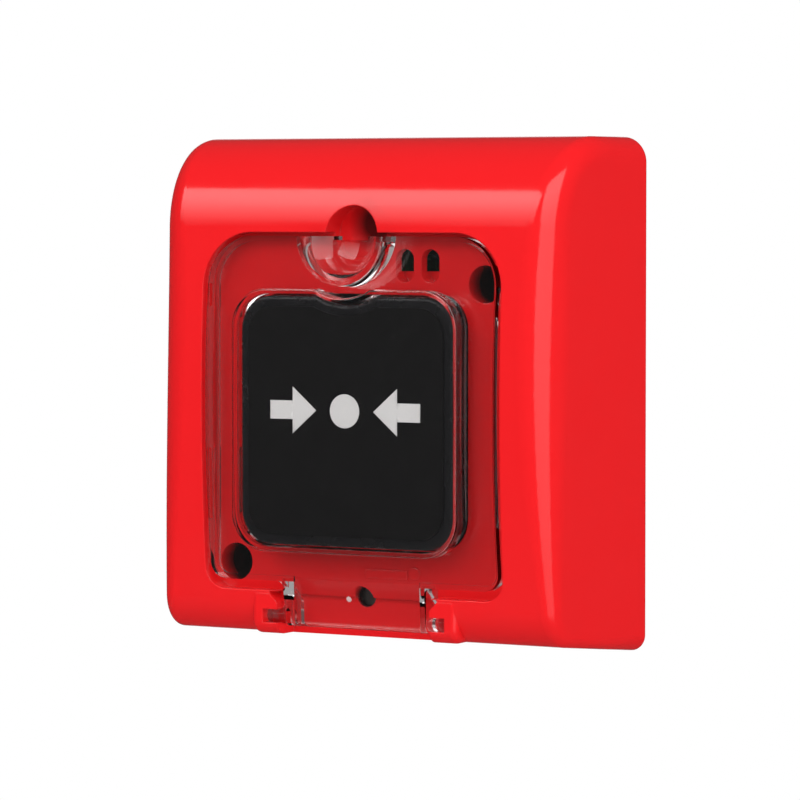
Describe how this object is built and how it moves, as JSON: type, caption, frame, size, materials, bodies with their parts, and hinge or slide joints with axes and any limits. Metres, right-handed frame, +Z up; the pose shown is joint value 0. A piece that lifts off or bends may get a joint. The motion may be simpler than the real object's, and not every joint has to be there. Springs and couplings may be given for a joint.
{
  "type": "manual call point",
  "caption": "Wall mounted manual call point with a clear hinged cover over a square latching push button, a reset hole, two lamp slots and a circuit board inside.",
  "frame": {"origin": "centre of the wall face, midway between the two wall fixing holes", "axes": "+Y points into the wall, the front faces -Y, +Z up, +X to the right as seen from the front"},
  "size_m": [0.09, 0.0342, 0.094],
  "materials": {
    "red_housing": "gloss moulded ABS",
    "clear_cover": "clear moulded polycarbonate",
    "black_button": "fine textured",
    "label": "satin film",
    "latch_white": "plain acetal",
    "steel": "zinc plated",
    "spring_steel": "bright wire",
    "plate_grey": "fine textured",
    "board_green": "solder mask",
    "terminal_green": "moulded",
    "switch_black": "moulded",
    "switch_red": "moulded",
    "lamp_green": "clear tinted",
    "lamp_red": "clear tinted",
    "spacer_black": "moulded",
    "chip_black": "moulded",
    "capacitor_can": "plain can",
    "resistor_white": "ceramic"
  },
  "bodies": {
    "base": {"housing": "red_housing", "wall_plate": "plate_grey", "housing_screws": "steel", "board_screws": "steel", "circuit_board": "board_green", "terminal_block": "terminal_green", "terminal_screws": "steel", "microswitch": "switch_black", "latch_pin": "steel", "return_spring_left": "spring_steel", "return_spring_right": "spring_steel", "latch_spring": "spring_steel", "status_lamp": "lamp_green", "alarm_lamp": "lamp_red", "lamp_spacers": "spacer_black", "controller_chip": "chip_black", "capacitor": "capacitor_can", "bridge_rectifier": "chip_black", "resistors": "resistor_white"},
    "cover": {"clear_cover": "clear_cover"},
    "button": {"push_button": "black_button", "button_label": "label"},
    "latch": {"reset_latch": "latch_white"},
    "lever": {"switch_lever": "spring_steel"},
    "plunger": {"switch_plunger": "switch_red"}
  },
  "joints": [
    {"name": "cover_hinge", "type": "hinge", "parent": "base", "child": "cover", "pos_m": [0, -0.0265, -0.0411], "axis": [1, 0, 0], "range_deg": [0, 175]},
    {"name": "button_press", "type": "slide", "parent": "base", "child": "button", "axis": [0, 1, 0], "range_m": [0, 0.004], "stiffness_N_per_m": 900, "springref_m": -0.004, "deforming": ["return_spring_left", "return_spring_right"]},
    {"name": "latch_release", "type": "hinge", "parent": "base", "child": "latch", "pos_m": [0, -0.015, -0.0312], "axis": [1, 0, 0], "range_deg": [0, 12], "stiffness_Nm_per_rad": 0.02, "springref_deg": -8.59, "deforming": ["latch_spring"]},
    {"name": "lever_swing", "type": "hinge", "parent": "base", "child": "lever", "pos_m": [-0.0084, -0.0188, -0.0048], "axis": [0, 0, 1], "range_deg": [0, 17.6]},
    {"name": "plunger_slide", "type": "slide", "parent": "base", "child": "plunger", "axis": [0, 1, 0], "range_m": [0, 0.0008]}
  ],
  "couplings": [
    {"joint": "lever_swing", "follows": "button_press", "rad_per_m": 76.7},
    {"joint": "plunger_slide", "follows": "button_press", "ratio": 0.2}
  ]
}
